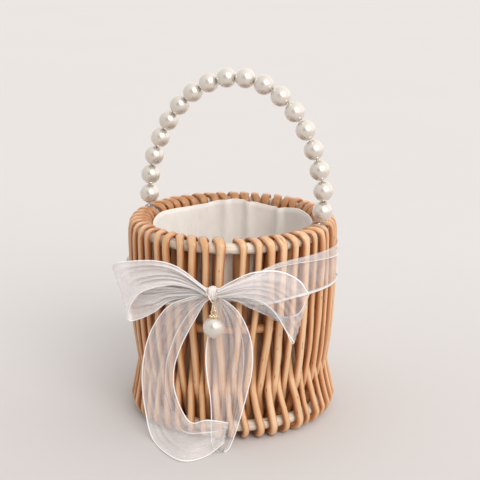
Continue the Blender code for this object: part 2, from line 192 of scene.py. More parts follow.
# %% Table top
TABLE = 7.0
table_mesh = bpy.data.meshes.new("table_top")
table_corners = [(-TABLE, -TABLE, 0), (TABLE, -TABLE, 0), (TABLE, TABLE, 0), (-TABLE, TABLE, 0)]
table_mesh.from_pydata(table_corners, [], [(0, 1, 2, 3)])
table_top = bpy.data.objects.new("table_top", table_mesh)
bpy.context.scene.collection.objects.link(table_top)
surface, tree, shader = new_finish("painted_table", Roughness=0.9)
where = object_place(tree)
tone = blend_colours(tree, cloudy(tree, where, 3.0), (0.632, 0.604, 0.592, 1), (0.650, 0.622, 0.61, 1))
# Painted shade: the front of the table is darker, standing in for the light falling off towards the camera.
depth = put(tree, "ShaderNodeSeparateXYZ", {0: where}).outputs[1]
painted_shade_front_tone = blend_colours(tree, 1.0, tone, (0.90, 0.895, 0.90, 1), "MULTIPLY")
tone = blend_colours(tree, remap(tree, depth, -0.30, 0.45), painted_shade_front_tone, tone)
tree.links.new(tone, shader.inputs["Base Color"])
table_mesh.materials.append(surface)
print("camera is", round((LOOKS_AT - CAMERA_AT).length, 3), "m away")

# %% [markdown]
# ## Finishes for the willow and the hoops
#
# Peeled willow is a smooth round rod with a fine grain along it, faint blotches where it was
# steamed, and a few dark specks where buds were cut off. The grain has to run along each rod
# wherever it bends, so it isn't read from space: the mesh carries where each point lies round the
# rod (`round`), how far along it is (`along`), and one random number for each rod (`shade`). Two
# more numbers paint shade into the colour: the flanks where rods touch are painted darker, and so
# are the inner legs, which the outer legs cover. `fold` marks the glossier bends.

# %% Willow, brown rod and peeled rod
def rod_grain(tree, stretch):
    """Texture space that follows a rod: across it in two directions, and slowly along it."""
    across = put(tree, "ShaderNodeSeparateXYZ", {0: attribute(tree, "round", "Vector")})
    along = calc(tree, "MULTIPLY", attribute(tree, "along"), stretch)
    apart = calc(tree, "MULTIPLY_ADD", attribute(tree, "shade"), 37.0, along)
    return put(tree, "ShaderNodeCombineXYZ", {0: across.outputs[0], 1: across.outputs[1], 2: apart}).outputs[0]


def rod_finish(name, pale, deep, spot, roughness, relief_m):
    made, tree, shader = new_finish(name, Roughness=roughness, Specular_IOR_Level=0.75)
    fine = cloudy(tree, stretched(tree, rod_grain(tree, 60.0), (5.0, 5.0, 1.0)), 1.0, 4.0)
    slow = cloudy(tree, stretched(tree, rod_grain(tree, 60.0), (0.6, 0.6, 0.5)), 1.0, 2.0)
    shade = attribute(tree, "shade")
    amount = calc(tree, "ADD", calc(tree, "MULTIPLY", remap(tree, fine, 0.35, 0.65), 0.42),
                  calc(tree, "MULTIPLY", remap(tree, slow, 0.3, 0.7), 0.38))
    amount = calc(tree, "ADD", amount, calc(tree, "MULTIPLY_ADD", shade, 0.50, -0.12))
    colour = blend_colours(tree, amount, pale, deep)
    # Painted shade: the inner legs, which the outer legs cover, are darker.
    inner_leg_painted_shade = remap(tree, attribute(tree, "inside"), 0.15, 0.8, 0.0, 0.95)
    colour = blend_colours(tree, inner_leg_painted_shade, colour, tinted(deep, 0.72, 0.62, 0.5))
    # Painted shade: the flanks where rods touch are darker and redder.
    painted_shade_flank = remap(tree, attribute(tree, "painted_shade_flank"), 0.46, 0.97, 0.0, 0.92)
    colour = blend_colours(tree, painted_shade_flank, colour, tinted(deep, 0.72, 0.42, 0.22))
    buds = cloudy(tree, stretched(tree, rod_grain(tree, 170.0), (2.2, 2.2, 1.0)), 1.0, 1.0)
    colour = blend_colours(tree, remap(tree, buds, 0.71, 0.76), colour, spot)
    tree.links.new(colour, shader.inputs["Base Color"])
    polish = remap(tree, attribute(tree, "fold"), 0.0, 1.0, roughness, roughness * 0.62)
    tree.links.new(calc(tree, "ADD", polish, calc(tree, "MULTIPLY", fine, 0.12)), shader.inputs["Roughness"])
    tree.links.new(relief(tree, fine, 0.5, relief_m), shader.inputs["Normal"])
    return made


willow_finish = rod_finish("steamed_willow", (0.78, 0.53, 0.325, 1), (0.58, 0.295, 0.115, 1),
                           (0.11, 0.045, 0.018, 1), 0.42, 0.0005)
brown_finish = rod_finish("brown_rod", (0.60, 0.29, 0.115, 1), (0.42, 0.18, 0.062, 1),
                          (0.09, 0.035, 0.012, 1), 0.5, 0.0002)
peeled_finish = rod_finish("peeled_rod", (0.86, 0.79, 0.68, 1), (0.62, 0.48, 0.34, 1),
                           (0.24, 0.13, 0.06, 1), 0.62, 0.0008)

# %% [markdown]
# ## A rod that follows a path
#
# Most hard pieces here are a round rod or wire bent along a line: hoops, rings, hooks, eyelets
# and the hairpins themselves. Curve to Mesh sweeps a circle along a curve. `rod_tree` builds that
# once, with the path made in Python and handed over as a line of points, and stores the numbers
# that the grain needs on the way.

# %% Turn a finished node tree into a plain mesh
def bake(name, source, tree, values, body, replaced):
    """Runs the tree on the source mesh, keeps the result as one plain mesh, and puts it on its body."""
    holder = bpy.data.objects.new(name + "_maker", source)
    bpy.context.scene.collection.objects.link(holder)
    modifier = holder.modifiers.new("Maker", "NODES")
    modifier.node_group = tree
    for item in tree.interface.items_tree:
        if item.in_out == "INPUT" and item.name in values:
            modifier[item.identifier] = values[item.name]
    graph = bpy.context.evaluated_depsgraph_get()
    mesh = bpy.data.meshes.new_from_object(holder.evaluated_get(graph), preserve_all_data_layers=True,
                                           depsgraph=graph)
    bpy.data.objects.remove(holder, do_unlink=True)
    return finished(name, mesh, body, replaced)


def finished(name, mesh, body, replaced):
    mesh.name = name
    piece = bpy.data.objects.new(name, mesh)
    bpy.context.scene.collection.objects.link(piece)
    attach(piece, body)
    if replaced:
        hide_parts(*replaced)
    triangles = sum(len(face.vertices) - 2 for face in mesh.polygons)
    print(f"{name}: {triangles} triangles on {body}")
    return piece


def new_tree(name, sockets):
    """A Geometry Nodes tree, the values it is given by name, and the node where it ends."""
    tree = bpy.data.node_groups.new(name, "GeometryNodeTree")
    tree.interface.new_socket("Geometry", in_out="OUTPUT", socket_type="NodeSocketGeometry")
    tree.interface.new_socket("Geometry", in_out="INPUT", socket_type="NodeSocketGeometry")
    for label, kind, value in sockets:
        made = tree.interface.new_socket(label, in_out="INPUT", socket_type="NodeSocket" + kind)
        if value is not None:
            made.default_value = value
    return tree, tree.nodes.new("NodeGroupInput").outputs, tree.nodes.new("NodeGroupOutput")


def store(tree, geometry, name, value, kind="FLOAT"):
    inputs = {"Geometry": geometry, "Name": name, "Value": value}
    return put(tree, "GeometryNodeStoreNamedAttribute", inputs, data_type=kind, domain="POINT").outputs[0]


def named(tree, name, kind="FLOAT"):
    return put(tree, "GeometryNodeInputNamedAttribute", {"Name": name}, data_type=kind).outputs[0]


def end_tree(tree, geometry, material, exit_node):
    real = put(tree, "GeometryNodeRealizeInstances", {0: geometry}).outputs[0]
    smooth = put(tree, "GeometryNodeSetShadeSmooth", {"Geometry": real}).outputs[0]
    dressed = put(tree, "GeometryNodeSetMaterial", {"Geometry": smooth, "Material": material}).outputs[0]
    tree.links.new(dressed, exit_node.inputs[0])


def sweep(tree, curve, radius, sides):
    """A round rod along a curve, whose points know where they lie round it."""
    circle = put(tree, "GeometryNodeCurvePrimitiveCircle", {"Resolution": sides, "Radius": radius}).outputs[0]
    over = put(tree, "GeometryNodeInputPosition").outputs[0]
    unit = vector_calc(tree, "SCALE", over, scale=calc(tree, "DIVIDE", 1.0, radius))
    circle = store(tree, circle, "round", unit, "FLOAT_VECTOR")
    size = put(tree, "GeometryNodeInputRadius").outputs[0]
    inputs = {"Curve": curve, "Profile Curve": circle, "Scale": size, "Fill Caps": True}
    return put(tree, "GeometryNodeCurveToMesh", inputs).outputs[0]


# %% A hoop or a wire
rod_tree, given, leave = new_tree("Rod along a path", [
    ("Rod radius", "Float", 0.002), ("Sides", "Int", 12), ("Closed", "Bool", False),
    ("Roughness of shape", "Float", 0.0), ("Seed", "Int", 0), ("Finish", "Material", None)])
curve = put(rod_tree, "GeometryNodeMeshToCurve", {0: given["Geometry"]}).outputs[0]
curve = put(rod_tree, "GeometryNodeSetSplineCyclic", {0: curve, 2: given["Closed"]}).outputs[0]
length = put(rod_tree, "GeometryNodeSplineParameter").outputs["Length"]
curve = store(rod_tree, curve, "along", length)
curve = store(rod_tree, curve, "shade", calc(rod_tree, "MULTIPLY", given["Seed"], 0.137))
spot = put(rod_tree, "GeometryNodeInputPosition").outputs[0]
lumps = put(rod_tree, "ShaderNodeTexNoise", {"Vector": spot, "W": given["Seed"], "Scale": 90.0},
            noise_dimensions="4D").outputs[0]
swell = calc(rod_tree, "MULTIPLY_ADD", calc(rod_tree, "SUBTRACT", lumps, 0.5),
             given["Roughness of shape"], 1.0)
curve = put(rod_tree, "GeometryNodeSetCurveRadius", {0: curve, 2: swell}).outputs[0]
rod = sweep(rod_tree, curve, given["Rod radius"], given["Sides"])
end_tree(rod_tree, rod, given["Finish"], leave)


def line_mesh(points, **extras):
    """A line of points as a mesh of edges, with any numbers that go along with them."""
    mesh = bpy.data.meshes.new("guide")
    edges = [(i, i + 1) for i in range(len(points) - 1)]
    mesh.from_pydata([tuple(p) for p in points], edges, [])
    for label, values in extras.items():
        mesh.attributes.new(label, "FLOAT", "POINT").data.foreach_set("value", values)
    return mesh


def ring_points(centre, radius, first, second, count):
    turns = [2 * math.pi * k / count for k in range(count)]
    return [centre + radius * (math.cos(a) * first + math.sin(a) * second) for a in turns]


def smooth_path(points, steps):
    """A Catmull-Rom curve through the points, as rows of numbers of any width."""
    p = np.array(points, float)
    p = np.vstack([2 * p[0] - p[1], p, 2 * p[-1] - p[-2]])
    out = []
    for k in range(1, len(p) - 2):
        a, b, c, d = p[k - 1], p[k], p[k + 1], p[k + 2]
        for s in range(steps):
            t = s / steps
            out.append(0.5 * (2 * b + (c - a) * t + (2 * a - 5 * b + 4 * c - d) * t**2
                              + (3 * b - a - 3 * c + d) * t**3))
    out.append(p[-2])
    return np.array(out)


# %% [markdown]
# ## Three hoops
#
# The rim and the foot are thick peeled rods, pale and a little stringy; the middle one is thinner
# and was stained with the stakes. Each is a circle of points swept with the tree above.

# %% Hoops
HOOP_RADIUS = 0.0650
RIM_Z = 0.1350
MIDDLE_Z = 0.0785
FOOT_Z = 0.0092
THICK_ROD = 0.00375
THIN_ROD = 0.0030


def hoop(name, z, rod, finish, seed):
    points = ring_points(Vector((0, 0, z)), HOOP_RADIUS, RIGHT, BACK, 220)
    values = {"Rod radius": rod, "Sides": 18, "Closed": True, "Roughness of shape": 0.16, "Seed": seed,
              "Finish": finish}
    return bake(name + "_rod", line_mesh(points), rod_tree, values, "basket", [name])


hoop("top_hoop", RIM_Z, THICK_ROD, peeled_finish, 1)
hoop("middle_hoop", MIDDLE_Z, THIN_ROD, brown_finish, 2)
hoop("bottom_hoop", FOOT_Z, THICK_ROD, peeled_finish, 3)

# %% [markdown]
# ## The willow stakes
#
# Forty-six hairpins hang over the rim hoop. Each has one leg outside and one inside; at the waist
# they cross in depth and run on to the foot. That is one shape repeated round a circle, so one
# hairpin is drawn flat (out from the middle, sideways, up) and Geometry Nodes copies it, turns
# each copy to its own angle at the waist and at the rim, and shakes it a little with fixed seeds.

# %% One hairpin as a guide line
STAKES = 46
STAKE_ROD = 0.0021
WRAP = 0.0064
WAIST_Z = 0.0360
WAIST_RADIUS = 0.0663
RIM_OUT = HOOP_RADIUS + WRAP
RIM_IN = HOOP_RADIUS - WRAP
MIDDLE_OUT = 0.0706
MIDDLE_IN = 0.0590
FOOT_IN = 0.0579
LEG_END_Z = 0.0026
LEAN = math.pi / STAKES / 2
SQUARENESS = 0.72
FOLD_RISE = 0.0056
SHOULDER_Z = 0.1270
BEND_Z = 0.1335


def hairpin():
    """Stations of (radius, sideways as an angle, height, fold): up the first leg and down the second."""
    first_foot = LEAN - 0.0008 / FOOT_IN
    second_foot = -LEAN + 0.0030 / RIM_OUT
    stations = [(FOOT_IN, first_foot, LEG_END_Z, 0), (FOOT_IN + 0.0004, first_foot, FOOT_Z, 0),
                (0.0596, LEAN * 0.94, 0.0150, 0), (0.0645, LEAN * 0.98, 0.0300, 0),
                (WAIST_RADIUS, LEAN, WAIST_Z, 0), (0.0689, LEAN, 0.0560, 0), (MIDDLE_OUT, LEAN, MIDDLE_Z, 0),
                (0.0712, LEAN, 0.1060, 0), (RIM_OUT, LEAN, SHOULDER_Z, 0), (RIM_OUT, LEAN, BEND_Z, 0.3)]
    for k in range(1, 12):
        turn = math.pi * k / 12
        out, up = math.cos(turn), math.sin(turn)
        out = math.copysign(abs(out) ** SQUARENESS, out)
        up = abs(up) ** SQUARENESS
        stations.append((HOOP_RADIUS + WRAP * out, LEAN * math.cos(turn), RIM_Z + FOLD_RISE * up, 1))
    stations += [(RIM_IN, -LEAN, BEND_Z, 0.3), (RIM_IN, -LEAN, SHOULDER_Z, 0), (0.0588, -LEAN, 0.1060, 0),
                 (MIDDLE_IN, -LEAN, MIDDLE_Z, 0), (0.0624, -LEAN, 0.0560, 0),
                 (WAIST_RADIUS, -LEAN, WAIST_Z, 0), (0.0674, -0.78 * LEAN + 0.22 * second_foot, 0.0300, 0),
                 (0.0703, -0.22 * LEAN + 0.78 * second_foot, 0.0150, 0),
                 (RIM_OUT, second_foot, FOOT_Z, 0),
                 (HOOP_RADIUS + WRAP * 0.72, second_foot, FOOT_Z - WRAP * 0.72, 0.3),
                 (HOOP_RADIUS + 0.0006, second_foot, FOOT_Z - WRAP, 0.3),
                 (HOOP_RADIUS - 0.0012, second_foot, FOOT_Z - WRAP, 0.3)]
    return smooth_path(stations, 3)


pin = hairpin()
count = len(pin)
second_leg = np.clip((np.arange(count) - np.argmax(pin[:, 2])) / 6.0 + 0.5, 0, 1)
# How far a point lies on an inner leg, less where the leg lies further out; the willow finish paints shade with
# it.
inside = np.where(pin[:, 2] > WAIST_Z, second_leg, 1 - second_leg)
depth = np.clip((pin[:, 0] - 0.0600) / 0.0100, 0, 1)
inside = inside * (1 - depth)
guide = line_mesh(np.column_stack([pin[:, 0], pin[:, 1] * HOOP_RADIUS, pin[:, 2]]),
                  fold=np.clip(pin[:, 3], 0, 1), inside=inside)
print("the hairpin guide has", count, "points")

# %% Copy it round the hoops
stake_tree, given, leave = new_tree("Stakes round the hoops", [
    ("Stakes", "Int", STAKES), ("Rod radius", "Float", STAKE_ROD), ("Hoop radius", "Float", HOOP_RADIUS),
    ("Waist height", "Float", WAIST_Z), ("Rim height", "Float", RIM_Z), ("Ring gap", "Float", 0.0130 / RIM_OUT),
    ("Front gap", "Float", math.radians(4.7)), ("Front gap after", "Int", 13), ("Shake", "Float", 0.0011),
    ("Seed", "Int", 4), ("Finish", "Material", None)])
t = stake_tree
curve = put(t, "GeometryNodeMeshToCurve", {0: given["Geometry"]}).outputs[0]
copies = put(t, "GeometryNodeDuplicateElements", {0: curve, 2: given["Stakes"]}, domain="SPLINE")
number = copies.outputs["Duplicate Index"]
curve = store(t, copies.outputs["Geometry"], "number", number)
number = named(t, "number")
half = calc(t, "DIVIDE", given["Stakes"], 2.0)
side = calc(t, "FLOOR", calc(t, "DIVIDE", calc(t, "ADD", number, 0.1), half))
place = calc(t, "SUBTRACT", number, calc(t, "MULTIPLY", side, half))
arc = calc(t, "SUBTRACT", math.pi, given["Ring gap"])
step = calc(t, "DIVIDE", arc, calc(t, "SUBTRACT", half, 1.0))
rim = calc(t, "MULTIPLY_ADD", side, math.pi, calc(t, "MULTIPLY", given["Ring gap"], 0.5))
rim = calc(t, "MULTIPLY_ADD", step, place, rim)
gap_at = calc(t, "ADD", given["Front gap after"], 0.5)
share = calc(t, "DIVIDE", calc(t, "SUBTRACT", place, gap_at), calc(t, "SUBTRACT", half, gap_at))
pushed = calc(t, "MULTIPLY", given["Front gap"], calc(t, "SUBTRACT", 1.0, calc(t, "POWER", share, 3.0)))
beyond = calc(t, "MULTIPLY", calc(t, "GREATER_THAN", place, gap_at), side)
rim = calc(t, "MULTIPLY_ADD", pushed, beyond, rim)
waist = calc(t, "DIVIDE", calc(t, "MULTIPLY", calc(t, "ADD", number, 0.5), 2 * math.pi), given["Stakes"])
flat = put(t, "ShaderNodeSeparateXYZ", {0: put(t, "GeometryNodeInputPosition").outputs[0]})
out, sideways, up = flat.outputs
climb = calc(t, "DIVIDE", calc(t, "SUBTRACT", up, given["Waist height"]),
             calc(t, "SUBTRACT", given["Rim height"], given["Waist height"]))
climb = put(t, "ShaderNodeClamp", {0: climb}).outputs[0]


def shaken(offset, scale, size):
    """A slow wobble along each stake, different for each, in metres."""
    at = put(t, "ShaderNodeCombineXYZ", {0: calc(t, "MULTIPLY", number, 3.7), 1: calc(t, "MULTIPLY", out, 90.0),
                                         2: calc(t, "MULTIPLY", up, scale)}).outputs[0]
    seed = calc(t, "ADD", given["Seed"], offset)
    wave = put(t, "ShaderNodeTexNoise", {"Vector": at, "W": seed, "Scale": 1.0, "Detail": 1.0},
               noise_dimensions="4D").outputs[0]
    return calc(t, "MULTIPLY", calc(t, "MULTIPLY", calc(t, "SUBTRACT", wave, 0.5), 2.0),
                calc(t, "MULTIPLY", given["Shake"], size))


angle = put(t, "ShaderNodeMix", {0: climb, 2: waist, 3: rim}).outputs[0]
angle = calc(t, "ADD", angle, calc(t, "DIVIDE", calc(t, "ADD", sideways, shaken(0.0, 14.0, 3.4)),
                                   given["Hoop radius"]))
radius = calc(t, "ADD", out, shaken(20.0, 30.0, 0.5))
turned = put(t, "ShaderNodeCombineXYZ", {0: calc(t, "MULTIPLY", radius, calc(t, "COSINE", angle)),
                                         1: calc(t, "MULTIPLY", radius, calc(t, "SINE", angle)), 2: up}).outputs[0]
tone = put(t, "FunctionNodeRandomValue", {2: 0.0, 3: 1.0, 7: number, 8: given["Seed"]}).outputs[1]
girth = put(t, "FunctionNodeRandomValue", {2: 0.90, 3: 1.30, 7: number, 8: 11}).outputs[1]
waisted = calc(t, "DIVIDE", calc(t, "SUBTRACT", up, given["Waist height"]), 0.022)
waisted = calc(t, "POWER", 2.718, calc(t, "MULTIPLY", calc(t, "MULTIPLY", waisted, waisted), -1.0))
girth = calc(t, "MULTIPLY", girth, calc(t, "MULTIPLY_ADD", waisted, -0.10, 1.0))
wobble = calc(t, "MULTIPLY_ADD", shaken(40.0, 60.0, 1.0), 60.0, girth)
curve = store(t, curve, "turned", turned, "FLOAT_VECTOR")
curve = store(t, curve, "girth", wobble)
curve = store(t, curve, "shade", tone)
place_now = put(t, "GeometryNodeSetPosition", {"Geometry": curve, "Position": named(t, "turned", "FLOAT_VECTOR")})
curve = store(t, place_now.outputs[0], "along", put(t, "GeometryNodeSplineParameter").outputs["Length"])
curve = put(t, "GeometryNodeSetCurveRadius", {0: curve, 2: named(t, "girth")}).outputs[0]
rods = sweep(t, curve, given["Rod radius"], 14)

# Over the rim a bent rod flattens: thinner towards the hoop, and wider along it.
spot = put(t, "GeometryNodeInputPosition").outputs[0]
core = named(t, "turned", "FLOAT_VECTOR")
away = vector_calc(t, "SUBTRACT", spot, core)
core_parts = put(t, "ShaderNodeSeparateXYZ", {0: core})
level = put(t, "ShaderNodeCombineXYZ", {0: core_parts.outputs[0], 1: core_parts.outputs[1]}).outputs[0]
outward = vector_calc(t, "NORMALIZE", level)
lift = put(t, "ShaderNodeCombineXYZ", {2: given["Rim height"]}).outputs[0]
on_hoop = vector_calc(t, "ADD", vector_calc(t, "SCALE", outward, scale=given["Hoop radius"]), lift)
press = vector_calc(t, "NORMALIZE", vector_calc(t, "SUBTRACT", core, on_hoop))
along_hoop = vector_calc(t, "CROSS_PRODUCT", outward, (0, 0, 1))
# How much a point faces along the hoop, towards its neighbours; the willow finish paints shade with it.
painted_shade_side = vector_calc(t, "DOT_PRODUCT", vector_calc(t, "NORMALIZE", away), along_hoop)
rods = store(t, rods, "painted_shade_flank", calc(t, "ABSOLUTE", painted_shade_side))
bent = calc(t, "MAXIMUM", named(t, "fold"), 0.3)
for direction, change in ((press, -0.40), (along_hoop, 0.32)):
    part = vector_calc(t, "DOT_PRODUCT", away, direction)
    part = calc(t, "MULTIPLY", calc(t, "MULTIPLY", part, change), bent)
    move = vector_calc(t, "SCALE", direction, scale=part)
    rods = put(t, "GeometryNodeSetPosition", {"Geometry": rods, "Offset": move}).outputs[0]
end_tree(t, rods, given["Finish"], leave)

pair_names = ["stake_pair_%02d" % (k + 1) for k in range(STAKES // 2)]
bake("willow_stakes", guide, stake_tree, {"Finish": willow_finish}, "basket", pair_names)

# %% [markdown]
# ## The wooden base
#
# A round board closes the bottom. Its solid is already the right shape, so it only gets a wood
# finish: long soft bands of grain across the board with fine lines in them.

# %% Board
board_finish, tree, shader = new_finish("plain_board", Roughness=0.68)
where = object_place(tree)
bands = cloudy(tree, stretched(tree, where, (9.0, 120.0, 40.0)), 1.0, 3.0)
lines = cloudy(tree, stretched(tree, where, (60.0, 1500.0, 400.0)), 1.0, 2.0)
grain = calc(tree, "ADD", calc(tree, "MULTIPLY", bands, 0.7), calc(tree, "MULTIPLY", lines, 0.3))
tree.links.new(blend_colours(tree, remap(tree, grain, 0.35, 0.65), (0.62, 0.43, 0.25, 1), (0.42, 0.26, 0.13, 1)),
               shader.inputs["Base Color"])
tree.links.new(relief(tree, lines, 0.3, 0.0001), shader.inputs["Normal"])
frame["nodes"]["base_board"].data.materials.clear()
frame["nodes"]["base_board"].data.materials.append(board_finish)

# %% [markdown]
# ## The cotton liner
#
# A thin bag of plain cotton lines the basket. It is cut as a strip for the wall and a disc for
# the floor, and is a little too full, so it hangs in soft upright folds, and its mouth rises and
# dips where it was tucked behind the rim. The sheet is a grid of angle and height bent by a rule:
# a few placed folds, a slow noise, and a hem turned down at the mouth.

# %% Liner shape
LINER_RADIUS = 0.0549
LINER_FLOOR = 0.0062
HEM = 0.0045
FLOOR_BEND = 0.0030
WALL_LIMIT = 0.0560
CLOTH = 0.0005
MOUTH = [(20, 0.1358), (38, 0.1370), (56, 0.1376), (68, 0.1360), (84, 0.1352), (113, 0.1386), (146, 0.1354),
         (180, 0.1368), (204, 0.1340), (236, 0.1322), (268, 0.1330), (300, 0.1345), (335, 0.1362), (380, 0.1358)]
FOLDS = [(101, 2.6, -0.0040), (110, 3.0, 0.0026), (119, 3.0, -0.0034), (134, 5.0, -0.0022), (74, 2.8, -0.0046),
         (64, 5.0, 0.0024), (165, 6.0, -0.0010), (208, 7.0, -0.0012), (255, 5.0, -0.0014), (320, 5.0, -0.0012)]
mouth_line = smooth_path(MOUTH, 40)


def mouth_height(degrees):
    degrees = (degrees - 20) % 360 + 20
    return float(np.interp(degrees, mouth_line[:, 0], mouth_line[:, 1]))


def liner_radius(degrees, z, share):
    fullness = 0.25 + 0.75 * share
    r = LINER_RADIUS + 0.0014 * share**6
    for at, width, depth in FOLDS:
        apart = (degrees - at + 180) % 360 - 180
        r += depth * fullness * math.exp(-(apart / width) ** 2)
    a = math.radians(degrees)
    r += 0.0009 * fullness * noise.noise(Vector((math.cos(a) * 2.2, math.sin(a) * 2.2, z * 14)))
    r += 0.0004 * fullness * noise.noise(Vector((math.cos(a) * 7, math.sin(a) * 7, z * 40)))
    return min(r, WALL_LIMIT)


def grid_faces(rows, columns, closed=False, start=0):
    """The quads of a grid of points given row by row; `closed` joins the end of a row to its start."""
    faces = []
    for i in range(rows - 1):
        low, high = start + i * columns, start + (i + 1) * columns
        for k in range(columns if closed else columns - 1):
            m = (k + 1) % columns
            faces.append((low + k, low + m, high + m, high + k))
    return faces


def liner_mesh():
    turns, wall_rows = 240, 34
    rings = []
    for k in range(9):
        r = (LINER_RADIUS - FLOOR_BEND) * (k + 1) / 10
        rings.append([(r, LINER_FLOOR + 0.0005) for _ in range(turns)])
    for k in range(1, 5):
        a = math.pi / 2 * k / 4
        bend = (LINER_RADIUS - FLOOR_BEND + FLOOR_BEND * math.sin(a), LINER_FLOOR + FLOOR_BEND * (1 - math.cos(a)))
        rings.append([bend for _ in range(turns)])
    for k in range(1, wall_rows + 1):
        share = k / wall_rows
        ring = []
        for n in range(turns):
            degrees = 360 * n / turns
            z = LINER_FLOOR + FLOOR_BEND + (mouth_height(degrees) - LINER_FLOOR - FLOOR_BEND) * share
            ring.append((liner_radius(degrees, z, share), z))
        rings.append(ring)
    edge = rings[-1]
    for out, down in ((0.0005, -0.0001), (0.0009, 0.0007), (0.0010, 0.0024), (0.0010, HEM)):
        rings.append([(r + out, z - down) for r, z in edge])
    points = [(0, 0, LINER_FLOOR)]
    for ring in rings:
        for n, (r, z) in enumerate(ring):
            a = 2 * math.pi * n / turns
            points.append((r * math.cos(a), r * math.sin(a), z))
    faces = [(0, 1 + (n + 1) % turns, 1 + n) for n in range(turns)]
    faces += grid_faces(len(rings), turns, closed=True, start=1)
    mesh = bpy.data.meshes.new("cotton_liner")
    mesh.from_pydata(points, [], faces)
    mesh.update()
    mesh.shade_smooth()
    return mesh


# %% Liner finish: a plain weave, with painted shade on its outer side, darker and warmer towards the foot
THREADS = 760.0


def cotton(name, pale, deep, low=(1.0, 1.0, 1.0, 1)):
    """`low` darkens the cloth towards its foot: painted shade deep in the basket."""
    made, tree, shader = new_finish(name, Roughness=0.92, Specular_IOR_Level=0.25, Sheen_Weight=0.25,
                                    Sheen_Roughness=0.5)
    where = object_place(tree)
    parts = put(tree, "ShaderNodeSeparateXYZ", {0: where})
    turn = calc(tree, "ARCTAN2", parts.outputs[1], parts.outputs[0])
    warp = calc(tree, "SINE", calc(tree, "MULTIPLY", turn, THREADS))
    weft = calc(tree, "SINE", calc(tree, "MULTIPLY", parts.outputs[2], THREADS / LINER_RADIUS))
    weave = calc(tree, "MULTIPLY", warp, weft)
    slubs = cloudy(tree, stretched(tree, where, (500.0, 500.0, 90.0)), 1.0, 2.0)
    patches = cloudy(tree, where, 60.0, 3.0)
    tone = blend_colours(tree, remap(tree, patches, 0.3, 0.7), pale, deep)
    # Painted shade: towards the foot the cloth is multiplied by `low`.
    painted_shade_towards_foot = blend_colours(tree, 1.0, tone, low, "MULTIPLY")
    tone = blend_colours(tree, remap(tree, parts.outputs[2], 0.030, 0.105), painted_shade_towards_foot, tone)
    slub = tinted(deep, 0.9, 0.89, 0.87)
    tone = blend_colours(tree, remap(tree, slubs, 0.55, 0.75, 0.0, 0.35), tone, slub)
    tree.links.new(tone, shader.inputs["Base Color"])
    height = calc(tree, "MULTIPLY_ADD", weave, 0.35, slubs)
    tree.links.new(relief(tree, height, 0.35, 0.00012), shader.inputs["Normal"])
    return made


cotton_finish = cotton("cotton", (0.83, 0.78, 0.735, 1), (0.76, 0.705, 0.66, 1))
# The outside of the liner, seen between the stakes, is a darker, warmer copy of the cotton: painted shade.
painted_shade_outer_cotton = cotton("cotton_outside_painted_shade", (0.80, 0.70, 0.59, 1), (0.70, 0.60, 0.48, 1), (0.66, 0.42, 0.24, 1))

mesh = liner_mesh()
mesh.materials.append(painted_shade_outer_cotton)
mesh.materials.append(cotton_finish)
liner = finished("cotton_liner", mesh, "basket", ["liner"])
wall = liner.modifiers.new("Thickness", "SOLIDIFY")
wall.thickness = CLOTH
wall.offset = 0
wall.material_offset = 1

# %% [markdown]
# ## Finishes for pearls and metal
#
# An imitation pearl is a glass bead under a milky, slightly rough coat: a soft body colour, a
# broad glow that mirrors the room softly, and one small sharp highlight on top. Metal needs
# little more than its colour and a fine wear in the roughness.

# %% Pearl, steel and gold
pearl_finish, tree, shader = new_finish(
    "pearl", Metallic=0.65, Specular_IOR_Level=0.5, Sheen_Weight=0.8, Sheen_Roughness=0.3,
    Coat_Weight=1.0, Coat_Roughness=0.12, Coat_IOR=1.55)
where = object_place(tree)
milk = cloudy(tree, where, 60.0, 2.0)
tree.links.new(blend_colours(tree, remap(tree, milk, 0.3, 0.7), (0.76, 0.695, 0.625, 1), (0.70, 0.64, 0.57, 1)),
               shader.inputs["Base Color"])
tree.links.new(remap(tree, cloudy(tree, where, 90.0, 1.0), 0.3, 0.7, 0.25, 0.31), shader.inputs["Roughness"])
tree.links.new(relief(tree, cloudy(tree, where, 150.0, 1.0), 0.10, 0.0001), shader.inputs["Normal"])


def metal(name, pale, deep, roughness):
    made, tree, shader = new_finish(name, Metallic=1.0)
    where = object_place(tree)
    worn = cloudy(tree, where, 900.0, 3.0)
    tree.links.new(blend_colours(tree, worn, pale, deep), shader.inputs["Base Color"])
    tree.links.new(remap(tree, worn, 0.3, 0.7, roughness, roughness + 0.15), shader.inputs["Roughness"])
    return made


steel_finish = metal("steel_wire", (0.78, 0.78, 0.80, 1), (0.62, 0.62, 0.65, 1), 0.2)
gold_finish = metal("pale_gold", (0.92, 0.74, 0.50, 1), (0.74, 0.54, 0.32, 1), 0.2)

# %% [markdown]
# ## Eighteen pearls
#
# Each pearl spins on the wire, so each is its own piece on its own body. The joint in the frame
# says where the pearl's centre is and which way its hole runs. One tree makes a bead: a sphere
# whose two poles are pushed in for the mouths of the hole, turned to the wire and set in place.

# %% One bead
PEARL_RADIUS = 0.0070

